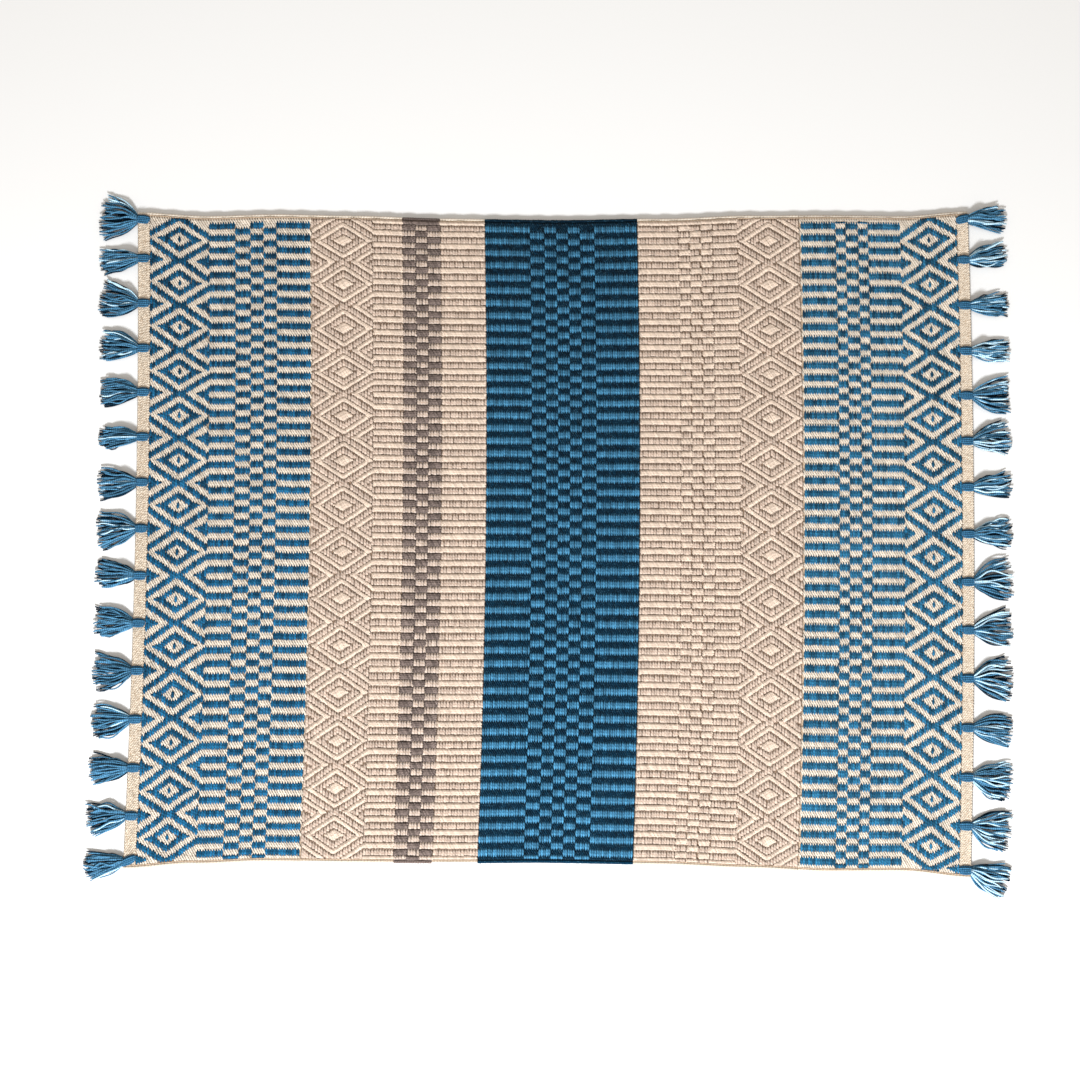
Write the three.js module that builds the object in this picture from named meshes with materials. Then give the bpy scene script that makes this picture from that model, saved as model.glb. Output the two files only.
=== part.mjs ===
// A flat-woven cotton rug with bound tassels along both ends, lying flat on a floor.
// Millimetres. X runs along the rug, Y across it from front to back, Z up from the floor.
import * as THREE from 'three';

// Woven cloth
const CLOTH_LENGTH = 788;
const BOW = 4.5; // the cross bands bulge this far towards +X at mid width
const TAPER = 0.0083; // the back edge is longer than the middle by this share
const GROOVE_HEIGHT = 4.0;
const RIB_HEIGHT = 5.0;
const FLAT_HEIGHT = 4.5;
const EDGE_HEIGHT = 3.8;
const HEADER_WIDTH = 9;
const SLIT_LENGTH = 3.6; // the tassel yarns are drawn through the cloth here
const BAR_INSET = 1.0; // a bar's ridge starts this far inside its band

// The weave's rows: light and dark half-bars by turns, from the back edge to the front edge
const ROWS = 99;
const ROW_DRIFT = 0.015; // rows lie closer together towards the back edge
const DIAMOND_ROWS = 7;
const FIRST_DIAMOND_ROW = 3;
const DIAMOND_STEP = 9.3; // along X, one ring of a diamond to the next

// The long edges, as wavy as the hand-woven cloth is
const EDGE_STATIONS = [
  { x: -394, back: 306.4, front: -313.2 },
  { x: -330, back: 303.4, front: -308.3 },
  { x: -260, back: 305.8, front: -305.3 },
  { x: -190, back: 305.0, front: -305.6 },
  { x: -100, back: 303.1, front: -305.4 },
  { x: 0, back: 302.7, front: -303.9 },
  { x: 100, back: 305.0, front: -304.7 },
  { x: 190, back: 309.0, front: -307.3 },
  { x: 260, back: 310.2, front: -309.9 },
  { x: 330, back: 310.0, front: -309.0 },
  { x: 394, back: 315.0, front: -314.3 },
];

// Bands along X. The long floats of the weave stand up as ribs: bars across the band in odd rows,
// checks in even and odd rows by turns, and diamonds in rings.
// In the outer panels the figures differ in colour alone, so one stretch of bars carries the relief.
const BANDS = [
  { kind: 'flat', width: 66.7, columns: 0 },
  { kind: 'bars', width: 98.0, columns: 2 },
  { kind: 'diamonds', width: 57.8, columns: 6 },
  { kind: 'bars', width: 28.7, columns: 2 },
  { kind: 'checks', width: 35.6, columns: 3 },
  { kind: 'bars', width: 42.5, columns: 2 },
  { kind: 'bars', width: 43.8, columns: 2 },
  { kind: 'checks', width: 58.9, columns: 5 },
  { kind: 'bars', width: 42.1, columns: 2 },
  { kind: 'bars', width: 38.6, columns: 2 },
  { kind: 'checks', width: 31.8, columns: 3 },
  { kind: 'bars', width: 24.3, columns: 2 },
  { kind: 'diamonds', width: 58.8, columns: 6 },
  { kind: 'bars', width: 95.0, columns: 2 },
  { kind: 'flat', width: 65.4, columns: 0 },
];

// Tassels
const LOCKS = 10;
const NECK_HALF_WIDTH = 3.6;
const ROOT_CLEARANCE = 0.3;
const ROOT_SLANT = 0.25; // what the slits and the cloth's ends lean by over a root's size
const HEAD_HALF_WIDTH = 5.6;
const HEAD_REACH = 5;
const HEAD_HEIGHT = 5.6;
const NECK_THICKNESS = 2.6; // the yarns' bulge over the header
const ROOT_THICKNESS = 0.8; // where they rise out of the slit
const LOCK_GAP = 0.35;
const SKIRT_LENGTH = 41;
const TIP_WIDTH = 1.5;
const TIP_HEIGHT = 1.8;
const TIP_SWAY = 0.6; // degrees, by turns
const TIP_RAGGED = 0.06; // share of the skirt's length

// One row per pair of tassels, from the back edge to the front: degrees that each skirt turns
// towards the back edge, and half the angle that it fans through.
const TASSELS = [
  { leftTurn: 4, leftFan: 30, rightTurn: 3, rightFan: 17 },
  { leftTurn: -6, leftFan: 18, rightTurn: 13, rightFan: 16 },
  { leftTurn: 8, leftFan: 27, rightTurn: 2, rightFan: 16 },
  { leftTurn: 6, leftFan: 23, rightTurn: 2, rightFan: 15 },
  { leftTurn: 1, leftFan: 20, rightTurn: 2, rightFan: 27 },
  { leftTurn: -2, leftFan: 15, rightTurn: 9, rightFan: 22 },
  { leftTurn: -4, leftFan: 21, rightTurn: 5, rightFan: 16 },
  { leftTurn: -5, leftFan: 26, rightTurn: 3, rightFan: 20 },
  { leftTurn: 5, leftFan: 20, rightTurn: 5, rightFan: 29 },
  { leftTurn: 1, leftFan: 21, rightTurn: 5, rightFan: 25 },
  { leftTurn: -3, leftFan: 26, rightTurn: 0, rightFan: 30 },
  { leftTurn: -6, leftFan: 24, rightTurn: -5, rightFan: 22 },
  { leftTurn: -4, leftFan: 19, rightTurn: -8, rightFan: 27 },
  { leftTurn: -7, leftFan: 22, rightTurn: -9, rightFan: 28 },
  { leftTurn: -10, leftFan: 17, rightTurn: -20, rightFan: 23 },
];

const cottonCloth = new THREE.MeshStandardMaterial({ color: 0xc9b59b, roughness: 0.95, metalness: 0 });
const cottonYarn = new THREE.MeshStandardMaterial({ color: 0x3f7fb0, roughness: 0.9, metalness: 0 });

// A long edge's Y at x, eased between the stations.
function edgeAt(x, side) {
  const last = EDGE_STATIONS.length - 1;
  let i = 0;
  while (i < last - 1 && x > EDGE_STATIONS[i + 1].x) i += 1;
  const a = EDGE_STATIONS[i];
  const b = EDGE_STATIONS[i + 1];
  return THREE.MathUtils.lerp(a[side], b[side], THREE.MathUtils.smoothstep(x, a.x, b.x));
}

// A point of the cloth in plan: x along the unbowed rug, across from -1 at the front to 1 at the back.
function clothPoint(x, across) {
  const y = THREE.MathUtils.lerp(edgeAt(x, 'front'), edgeAt(x, 'back'), (across + 1) / 2);
  return new THREE.Vector2(x * (1 + TAPER * across) + BOW * (1 - across * across), y);
}

// How far across the cloth a row's centre lies; row numbers may be fractions.
function rowAcross(row) {
  const v = 1 - (2 * (row + 0.5)) / ROWS;
  return v + ROW_DRIFT * (1 - v * v);
}

// Grid columns along X: each holds its x and the height of its relief at a row.
function clothColumns() {
  const half = CLOTH_LENGTH / 2;
  const columns = [];
  const addColumn = (x, height) => columns.push({ x, height });
  const ribbed = (isRib) => (isRib ? RIB_HEIGHT : GROOVE_HEIGHT);
  addColumn(-half, () => EDGE_HEIGHT);
  addColumn(-half + HEADER_WIDTH, () => FLAT_HEIGHT);
  addColumn(-half + HEADER_WIDTH + SLIT_LENGTH, () => FLAT_HEIGHT);
  let start = -half;
  for (const band of BANDS) {
    const middle = start + band.width / 2;
    for (let c = 0; c < band.columns; c += 1) {
      const fromMiddle = c - (band.columns - 1) / 2;
      if (band.kind === 'bars') {
        const x = middle + 2 * fromMiddle * (band.width / 2 - BAR_INSET);
        addColumn(x, (row) => ribbed(row % 2 === 1));
      } else if (band.kind === 'checks') {
        const x = middle + (fromMiddle * band.width) / band.columns;
        addColumn(x, (row) => ribbed((row + c) % 2 === 0));
      } else {
        const isRib = (row) => Math.floor(Math.abs(fromMiddle) + rowsToDiamond(row)) % 2 === 1;
        addColumn(middle + fromMiddle * DIAMOND_STEP, (row) => ribbed(isRib(row)));
      }
    }
    start += band.width;
  }
  addColumn(half - HEADER_WIDTH - SLIT_LENGTH, () => FLAT_HEIGHT);
  addColumn(half - HEADER_WIDTH, () => FLAT_HEIGHT);
  addColumn(half, () => EDGE_HEIGHT);
  return columns;
}

// Rows between this row and the middle of the nearest diamond.
function rowsToDiamond(row) {
  const beyond = THREE.MathUtils.euclideanModulo(row - FIRST_DIAMOND_ROW, DIAMOND_ROWS);
  return Math.min(beyond, DIAMOND_ROWS - beyond);
}

// The row at the back of each tassel's slit: between diamonds, and just inside the two corners.
function slitRow(pair) {
  return THREE.MathUtils.clamp(DIAMOND_ROWS * pair - 1, 0, ROWS - 2);
}

function solidFrom(points, triangles) {
  const geometry = new THREE.BufferGeometry();
  geometry.setAttribute('position', new THREE.Float32BufferAttribute(points, 3));
  geometry.setIndex(triangles);
  geometry.computeVertexNormals();
  return geometry;
}

// The cloth: one slab with a flat underside, a ribbed face and a slit for each tassel.
function clothGeometry() {
  const columns = clothColumns();
  const across = [1];
  for (let row = 0; row < ROWS; row += 1) across.push(rowAcross(row));
  across.push(-1);
  const rowCount = across.length;
  const lastColumn = columns.length - 1;
  const points = [];
  const triangles = [];
  const addPoint = (plan, z) => points.push(plan.x, plan.y, z) / 3 - 1;
  const addQuad = (a, b, c, d) => triangles.push(a, b, c, a, c, d);
  const top = columns.map((column) => across.map((t, j) => {
    const isEdge = j === 0 || j === rowCount - 1;
    return addPoint(clothPoint(column.x, t), isEdge ? EDGE_HEIGHT : column.height(j - 1));
  }));

  const slitCells = new Set();
  const slits = [];
  for (let pair = 0; pair < TASSELS.length; pair += 1) {
    const j = slitRow(pair) + 1;
    for (const i of [1, lastColumn - 2]) {
      slitCells.add(i * rowCount + j);
      slits.push([[i, j], [i, j + 1], [i + 1, j + 1], [i + 1, j]]);
    }
  }

  // The face, each cell split along the diagonal that keeps a rib's crest whole
  const heightOf = (index) => points[3 * index + 2];
  for (let i = 0; i < lastColumn; i += 1) {
    for (let j = 0; j < rowCount - 1; j += 1) {
      if (slitCells.has(i * rowCount + j)) continue;
      const corners = [top[i][j], top[i][j + 1], top[i + 1][j + 1], top[i + 1][j]];
      const [h0, h1, h2, h3] = corners.map(heightOf);
      if (Math.abs(h0 - h2) > Math.abs(h1 - h3)) corners.push(corners.shift());
      addQuad(...corners);
    }
  }

  // The underside and the walls, round the outline and round each slit
  const outline = [];
  for (let j = 0; j < rowCount - 1; j += 1) outline.push([0, j]);
  for (let i = 0; i < lastColumn; i += 1) outline.push([i, rowCount - 1]);
  for (let j = rowCount - 1; j > 0; j -= 1) outline.push([lastColumn, j]);
  for (let i = lastColumn; i > 0; i -= 1) outline.push([i, 0]);
  const loops = [outline, ...slits.map((slit) => [...slit].reverse())];
  const loopPlans = loops.map((loop) => loop.map(([i, j]) => clothPoint(columns[i].x, across[j])));
  const under = [];
  loops.forEach((loop, k) => {
    const first = under.length;
    loopPlans[k].forEach((plan) => under.push(addPoint(plan, 0)));
    loop.forEach(([i, j], n) => {
      const [nextI, nextJ] = loop[(n + 1) % loop.length];
      addQuad(under[first + n], under[first + ((n + 1) % loop.length)], top[nextI][nextJ], top[i][j]);
    });
  });
  for (const [a, b, c] of THREE.ShapeUtils.triangulateShape(loopPlans[0], loopPlans.slice(1))) {
    triangles.push(under[a], under[c], under[b]);
  }
  return solidFrom(points, triangles);
}

// One tassel: yarns drawn through the cloth, over the header and down into a head on the floor,
// with the skirt's locks fanned out flat. Here x runs outwards from the cloth's edge.
function tasselGeometry({ turn, fan, slitWidth, seed }) {
  const slitStart = -HEADER_WIDTH - SLIT_LENGTH;
  const planClearance = ROOT_CLEARANCE + ROOT_SLANT;
  const rootHalf = slitWidth / 2 - planClearance;
  const overCloth = FLAT_HEIGHT + ROOT_CLEARANCE;
  const profile = [
    { x: slitStart + planClearance, z: ROOT_CLEARANCE, half: rootHalf },
    { x: -HEADER_WIDTH - planClearance, z: ROOT_CLEARANCE, half: rootHalf },
    { x: -HEADER_WIDTH - planClearance, z: overCloth, half: rootHalf },
    { x: planClearance, z: overCloth, half: NECK_HALF_WIDTH },
    { x: planClearance, z: 0, half: NECK_HALF_WIDTH },
    { x: HEAD_REACH, z: 0, half: HEAD_HALF_WIDTH },
    { x: HEAD_REACH, z: HEAD_HEIGHT, half: HEAD_HALF_WIDTH },
    { x: planClearance, z: overCloth + NECK_THICKNESS, half: NECK_HALF_WIDTH },
    { x: -HEADER_WIDTH, z: overCloth + NECK_THICKNESS, half: rootHalf },
    { x: slitStart + planClearance, z: overCloth + ROOT_THICKNESS, half: rootHalf },
  ];
  const headFoot = 5;
  const headTop = 6;
  const points = [];
  const triangles = [];
  const addPoint = (x, y, z) => points.push(x, y, z) / 3 - 1;
  const addQuad = (a, b, c, d) => triangles.push(a, b, c, a, c, d);
  const right = profile.map((p) => addPoint(p.x, -p.half, p.z));
  const left = profile.map((p) => addPoint(p.x, p.half, p.z));

  // Side walls, then the faces between them, with the lock roots set into the head's outer end
  const sidePlan = profile.map((p) => new THREE.Vector2(p.x, p.z));
  for (const [a, b, c] of THREE.ShapeUtils.triangulateShape(sidePlan, [])) {
    triangles.push(right[a], right[b], right[c], left[a], left[c], left[b]);
  }
  const pitch = (2 * HEAD_HALF_WIDTH + LOCK_GAP) / LOCKS;
  const foot = [];
  const crown = [];
  for (let n = 0; n < LOCKS; n += 1) {
    for (const y of [n * pitch, (n + 1) * pitch - LOCK_GAP]) {
      const isCorner = (n === 0 && foot.length === 0) || foot.length === 2 * LOCKS - 1;
      const corner = foot.length === 0 ? right : left;
      foot.push(isCorner ? corner[headFoot] : addPoint(HEAD_REACH, y - HEAD_HALF_WIDTH, 0));
      crown.push(isCorner ? corner[headTop] : addPoint(HEAD_REACH, y - HEAD_HALF_WIDTH, HEAD_HEIGHT));
    }
  }
  for (let n = 0; n < profile.length; n += 1) {
    const next = (n + 1) % profile.length;
    if (next === headFoot) {
      triangles.push(right[n], left[n], foot[foot.length - 1]);
      for (let k = foot.length - 1; k > 0; k -= 1) triangles.push(right[n], foot[k], foot[k - 1]);
    } else if (n === headTop) {
      triangles.push(left[next], right[next], crown[0]);
      for (let k = 0; k < crown.length - 1; k += 1) triangles.push(left[next], crown[k], crown[k + 1]);
    } else if (n !== headFoot) {
      addQuad(right[n], left[n], left[next], right[next]);
    }
  }

  // Locks, each straight from its root to a tip of its own length and direction
  for (let n = 0; n < LOCKS; n += 1) {
    const [a, b] = [2 * n, 2 * n + 1];
    if (n > 0) addQuad(foot[a - 1], foot[a], crown[a], crown[a - 1]);
    const share = (2 * n + 1) / LOCKS - 1;
    const sway = TIP_SWAY * Math.sin(seed * 2.7 + n * 1.9);
    const angle = THREE.MathUtils.degToRad(turn + fan * share + sway);
    const reach = SKIRT_LENGTH * (1 - TIP_RAGGED + TIP_RAGGED * Math.cos(seed * 1.3 + n * 2.3));
    const alongTip = new THREE.Vector2(Math.cos(angle), Math.sin(angle)).multiplyScalar(reach);
    const acrossTip = new THREE.Vector2(-Math.sin(angle), Math.cos(angle)).multiplyScalar(TIP_WIDTH / 2);
    const tip = [-1, 1].flatMap((side) => [0, TIP_HEIGHT].map((z) => (
      addPoint(alongTip.x + side * acrossTip.x, alongTip.y + side * acrossTip.y, z))));
    const [tipFootRight, tipTopRight, tipFootLeft, tipTopLeft] = tip;
    addQuad(foot[a], foot[b], tipFootLeft, tipFootRight);
    addQuad(crown[b], crown[a], tipTopRight, tipTopLeft);
    addQuad(crown[a], foot[a], tipFootRight, tipTopRight);
    addQuad(foot[b], crown[b], tipTopLeft, tipFootLeft);
    addQuad(tipFootRight, tipFootLeft, tipTopLeft, tipTopRight);
  }
  return solidFrom(points, triangles);
}

// A tassel at one end of the rug, pointing straight out from its own slit.
function tasselMesh(pair, end) {
  const edgeX = (end * CLOTH_LENGTH) / 2;
  const slitX = edgeX - end * (HEADER_WIDTH + SLIT_LENGTH / 2);
  const row = slitRow(pair);
  const slitBack = clothPoint(slitX, rowAcross(row));
  const slitFront = clothPoint(slitX, rowAcross(row + 1));
  const edge = clothPoint(edgeX, rowAcross(row + 0.5));
  const { leftTurn, leftFan, rightTurn, rightFan } = TASSELS[pair];
  const geometry = tasselGeometry({
    turn: end < 0 ? -leftTurn : rightTurn,
    fan: end < 0 ? leftFan : rightFan,
    slitWidth: slitBack.y - slitFront.y,
    seed: pair + (end < 0 ? 0 : TASSELS.length),
  });
  const mesh = new THREE.Mesh(geometry, cottonYarn);
  mesh.name = `tassel_${end < 0 ? 'left' : 'right'}_${String(pair + 1).padStart(2, '0')}`;
  mesh.position.set(edge.x, (slitBack.y + slitFront.y) / 2, 0);
  mesh.rotation.z = end < 0 ? Math.PI : 0;
  return mesh;
}

const rug = new THREE.Group();
const cloth = new THREE.Mesh(clothGeometry(), cottonCloth);
cloth.name = 'rug_cloth';
rug.add(cloth);
for (let pair = 0; pair < TASSELS.length; pair += 1) {
  rug.add(tasselMesh(pair, -1), tasselMesh(pair, 1));
}

// The origin is on the floor under the middle of the whole rug, tassels included.
const middle = new THREE.Box3().setFromObject(rug).getCenter(new THREE.Vector3());
rug.position.set(-middle.x, -middle.y, 0);

export default rug;
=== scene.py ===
import math

import bpy
import numpy as np
from mathutils import Matrix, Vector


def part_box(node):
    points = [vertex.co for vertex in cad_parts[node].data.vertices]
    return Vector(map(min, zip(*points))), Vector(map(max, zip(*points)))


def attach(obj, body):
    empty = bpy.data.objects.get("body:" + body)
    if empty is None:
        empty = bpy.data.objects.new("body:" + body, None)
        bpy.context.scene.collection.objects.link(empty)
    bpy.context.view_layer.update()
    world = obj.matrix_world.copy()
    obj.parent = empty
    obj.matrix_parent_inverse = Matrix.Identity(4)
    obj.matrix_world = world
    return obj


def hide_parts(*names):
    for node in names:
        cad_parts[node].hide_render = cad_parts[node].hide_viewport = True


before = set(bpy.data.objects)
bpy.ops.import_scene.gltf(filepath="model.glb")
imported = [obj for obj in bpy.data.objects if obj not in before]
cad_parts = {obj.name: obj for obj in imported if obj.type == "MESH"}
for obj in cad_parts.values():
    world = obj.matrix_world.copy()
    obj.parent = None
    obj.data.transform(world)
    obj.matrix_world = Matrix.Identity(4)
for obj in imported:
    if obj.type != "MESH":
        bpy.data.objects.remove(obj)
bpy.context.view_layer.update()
mm = 0.001
dice = np.random.default_rng(41)
print("frame loaded")


# the cloth's plan, in millimetres: the solids' outline, and how the weave drifts inside it
clothPlan = {
    "halfLength": 394.0,
    "bow": 4.5,  # cross bands bulge this far towards +X at mid width
    "taper": 0.0083,  # back edge longer than the middle by this share
    "rows": 99,  # half bars, from the back edge to the front edge
    "rowDrift": 0.015,
    "evenRows": 6,  # the beat and the wander die out over these rows at a long edge
    "edges": [  # x, back edge, front edge
        (-394, 306.4, -313.2), (-330, 303.4, -308.3), (-260, 305.8, -305.3), (-190, 305.0, -305.6),
        (-100, 303.1, -305.4), (0, 302.7, -303.9), (100, 305.0, -304.7), (190, 309.0, -307.3),
        (260, 310.2, -309.9), (330, 310.0, -309.0), (394, 315.0, -314.3),
    ],
    "beat": [  # row, and how many rows it lies off its even place
        (-0.5, 0), (6, -0.14), (14, 0.03), (22, 0.16), (30, -0.04), (38, -0.05), (46, -0.11),
        (54, 0.03), (62, 0.13), (70, 0.17), (78, 0.30), (86, 0.35), (94, 0.14), (98.5, 0),
    ],
    "wander": [  # x, and how many rows the rows sink there
        (-394, -0.05), (-316, 0.08), (-246, 0.34), (-200, 0.1), (-157, 0.03), (-43, -0.01),
        (60, 0.12), (101, 0.1), (163, 0.26), (250, 0.12), (319, 0.2), (394, 0.22),
    ],
}


def edgeLine(x, column):
    table = np.array(clothPlan["edges"])
    i = np.clip(np.searchsorted(table[:, 0], x, side="right") - 1, 0, len(table) - 2)
    t = np.clip((x - table[i, 0]) / (table[i + 1, 0] - table[i, 0]), 0, 1)
    t = t * t * (3 - 2 * t)
    return table[i, column] * (1 - t) + table[i + 1, column] * t


def clothPoint(x, across):
    front, back = edgeLine(x, 2), edgeLine(x, 1)
    bowed = x * (1 + clothPlan["taper"] * across) + clothPlan["bow"] * (1 - across**2)
    return bowed, front + (back - front) * (across + 1) / 2


def rowAcross(row):
    v = 1 - 2 * (row + 0.5) / clothPlan["rows"]
    return v + clothPlan["rowDrift"] * (1 - v * v)


def weavePoint(x, row):
    x, row = np.broadcast_arrays(np.asarray(x, float), np.asarray(row, float))
    inner = np.clip(np.minimum(row + 0.5, clothPlan["rows"] - 0.5 - row) / clothPlan["evenRows"], 0, 1)
    moved = np.interp(row, *np.transpose(clothPlan["beat"]))
    moved = moved + np.interp(x, *np.transpose(clothPlan["wander"]))
    return np.stack(clothPoint(x, rowAcross(row + moved * inner)), -1) + planShift


def planCentre():
    x = np.linspace(-clothPlan["halfLength"], clothPlan["halfLength"], 789)
    across = np.linspace(-1, 1, 201)
    outline = [clothPoint(x, np.full_like(x, s)) for s in (-1, 1)]
    outline += [clothPoint(np.full_like(across, s), across) for s in (x[0], x[-1])]
    plan = np.concatenate([np.stack(o, -1) for o in outline])
    return (plan.min(0) + plan.max(0)) / 2


clothLow, clothHigh = (np.array(c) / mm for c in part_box("rug_cloth"))
planShift = (clothLow + clothHigh)[:2] / 2 - planCentre()
rowPitch = 6.17  # mm, on average


# the weave: which yarn floats on the face, at x and at a row
panels = [  # sizes in mm; reach widens bars and ringReach widens the diamonds' rings, in rows
    {
        "name": "weave_blue_left", "from": -394.0, "to": -229.3, "pitch": 2.45,
        "float": "indigo", "ground": "cream",
        "reach": 0.035, "ringReach": 0.0, "centre": -354.3, "header": -382.7,
        "bands": [
            ("plain", -382.7, 0), ("diamonds", -327.3, 0), ("bars", -300.7, 0),
            ("checks", -262.5, 3), ("bars", -229.3, 0),
        ],
    },
    {
        "name": "weave_tan_left", "from": -229.3, "to": -64.7, "pitch": 2.62,
        "float": "tan", "ground": "cream",
        "reach": 0.05, "ringReach": 0.12, "centre": -199.4,
        "bands": [("diamonds", -171.5, 0), ("bars", -142.8, 0), ("checks", -107.2, 3), ("bars", -64.7, 0)],
    },
    {
        "name": "weave_navy", "from": -64.7, "to": 80.1, "pitch": 2.25,
        "float": "sky", "ground": "navy",
        "reach": 0.01, "ringReach": 0.0, "centre": 8.6,
        "bands": [("bars", -20.9, 0), ("checks", 38.0, 5), ("bars", 80.1, 0)],
    },
    {
        "name": "weave_tan_right", "from": 80.1, "to": 233.6, "pitch": 2.55,
        "float": "tan", "ground": "cream",
        "reach": 0.05, "ringReach": 0.12, "centre": 203.8,
        "bands": [("bars", 118.7, 0), ("checks", 150.5, 3), ("bars", 174.8, 0), ("diamonds", 233.6, 0)],
    },
    {
        "name": "weave_blue_right", "from": 233.6, "to": 394.0, "pitch": 2.35,
        "float": "indigoPaler", "ground": "cream",
        "reach": 0.07, "ringReach": 0.0, "centre": 356.1, "header": 383.2,
        "bands": [
            ("bars", 267.0, 0), ("checks", 298.6, 3), ("bars", 328.8, 0),
            ("diamonds", 383.2, 0), ("plain", 394.0, 0),
        ],
    },
]
taupeStripe = (-142.8, -107.2)
figureEdges = {"barFirst": 0.5, "barLast": 0.8, "first": -0.1, "last": 0.9}  # rows kept off the long edges
diamond = {
    "firstRow": 3.4, "rows": 7, "step": 9.3, "tip": 0.8, "inner": 0.14,
    "lastRing": 4.5, "arrow": 5.15, "arrowReach": 2.25,  # rings, counted from the middle
    "dotRows": 0.4, "dotWidth": 1.3,
}
cornerArrow = {  # the short arrow beside each front corner's tassel, in place of a whole one
    "row": 97.35, "halfRows": 0.75, "length": 11.0, "ring": 4.9, "backRows": 1.6, "frontRows": 3.6,
}


def floatsAt(panel, x, row):
    x, row = np.broadcast_arrays(x, row)
    found = np.zeros(x.shape, bool)
    start = panel["from"]
    toOdd = np.abs(row % 2 - 1)
    half = 0.5 + panel["reach"]
    for kind, end, columns in panel["bands"]:
        inside = (x >= start) & (x < end)
        inRows = (row > figureEdges["barFirst"]) & (row < clothPlan["rows"] - figureEdges["barLast"])
        if kind == "bars":
            here = (toOdd < half) & inRows
        elif kind == "checks":
            column = np.floor((x - start) / (end - start) * columns)
            here = (np.where(column % 2 == 0, 1 - toOdd, toOdd) < half) & inRows
        elif kind == "diamonds":
            period = diamond["rows"]
            away = np.abs((row - diamond["firstRow"] + period / 2) % period - period / 2)
            offCentre = np.abs(x - panel["centre"])
            ring = away + np.maximum(offCentre, diamond["tip"]) / diamond["step"] - diamond["inner"]
            narrow = panel["ringReach"]
            capped = np.minimum(ring, diamond["lastRing"])
            share = capped - np.floor(capped)
            isGround = np.floor(capped) % 2 == 0
            isGround &= ring < diamond["arrow"] - diamond["arrowReach"] * narrow
            isGround &= (share < 1 - narrow) & ((share > narrow) | (ring < 1))
            isGround |= ring < 0
            isDot = (offCentre < diamond["dotWidth"]) & (away < diamond["dotRows"])
            here = ~isGround | (isDot & (narrow == 0))
            if "header" in panel:
                inward = 1 - np.abs(x - panel["header"]) / cornerArrow["length"]
                isArrow = np.abs(row - cornerArrow["row"]) < cornerArrow["halfRows"] * inward
                atCorner = row < cornerArrow["backRows"]
                atCorner |= row > clothPlan["rows"] - cornerArrow["frontRows"]
                here = here & ~(atCorner & (ring >= cornerArrow["ring"])) | isArrow
        else:
            here = np.zeros(x.shape, bool)
        found |= inside & here
        start = end
    return found & (row > figureEdges["first"]) & (row < clothPlan["rows"] - figureEdges["last"])


def runsOf(mask, rows):
    edge = np.zeros((len(mask), 1), np.int8)
    step = np.diff(np.concatenate([edge, mask.astype(np.int8), edge], 1), axis=1)
    line, first = np.nonzero(step == 1)
    _, last = np.nonzero(step == -1)
    return line, rows[first], rows[np.minimum(last, len(rows) - 1)]


def cutRuns(line, first, last, longest, stagger):
    count = np.maximum(np.ceil((last - first) / longest).astype(int), 1)
    which = np.repeat(np.arange(len(line)), count)
    part = np.arange(len(which)) - np.repeat(np.cumsum(count) - count, count)
    total = count[which]
    slip = np.where(total > 1, stagger * ((line[which] % 3) - 1) / 3, 0)
    a = np.where(part == 0, 0, (part + slip) / total)
    b = np.where(part == total - 1, 1, (part + 1 + slip) / total)
    span = (last - first)[which]
    return line[which], first[which] + a * span, first[which] + b * span


# meshes from many yarns at once
mapMargin = 0.01
tipTurn = 0.4  # where a yarn's tips lie on its map, as a share of a turn
tipBulge = 0.3  # of a tube's radius


def yarnHeap():
    return {"points": [], "faces": [], "maps": [], "slots": [], "count": 0}


def addYarns(heap, tips, rings, along, slot):
    # tips n,2,3 and rings n,s,p,3 in mm; along n,s+2 is the length in mm at each station
    n, s, p, _ = rings.shape
    if n == 0:
        return
    points = np.concatenate([tips[:, :1], rings.reshape(n, s * p, 3), tips[:, 1:]], 1)
    turnShare = np.arange(p) / p
    u = np.concatenate([along[:, :1], np.repeat(along[:, 1:-1], p, 1), along[:, -1:]], 1)
    v = np.concatenate([[tipTurn], np.tile(turnShare, s), [tipTurn]])
    ring = 1 + np.arange(s * p).reshape(s, p)
    after = np.roll(ring, -1, 1)
    triangles = [np.stack([np.zeros(p, int), after[0], ring[0]], -1)]
    for k in range(s - 1):
        triangles.append(np.stack([ring[k], after[k], after[k + 1]], -1))
        triangles.append(np.stack([ring[k], after[k + 1], ring[k + 1]], -1))
    triangles.append(np.stack([np.full(p, 1 + s * p), ring[-1], after[-1]], -1))
    triangles = np.concatenate(triangles)
    each = s * p + 2
    firstPoint = heap["count"] + each * np.arange(n)
    heap["faces"].append((triangles[None] + firstPoint[:, None, None]).reshape(-1, 3))
    heap["points"].append(points.reshape(-1, 3))
    heap["maps"].append(np.stack([u, np.broadcast_to(v, u.shape)], -1).reshape(-1, 2))
    heap["slots"].append(np.full(n * len(triangles), slot))
    heap["count"] += n * each


def addSurface(heap, points, faces, maps, slots):
    heap["faces"].append(faces + heap["count"])
    heap["points"].append(points)
    heap["maps"].append(maps)
    heap["slots"].append(slots)
    heap["count"] += len(points)


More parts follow.
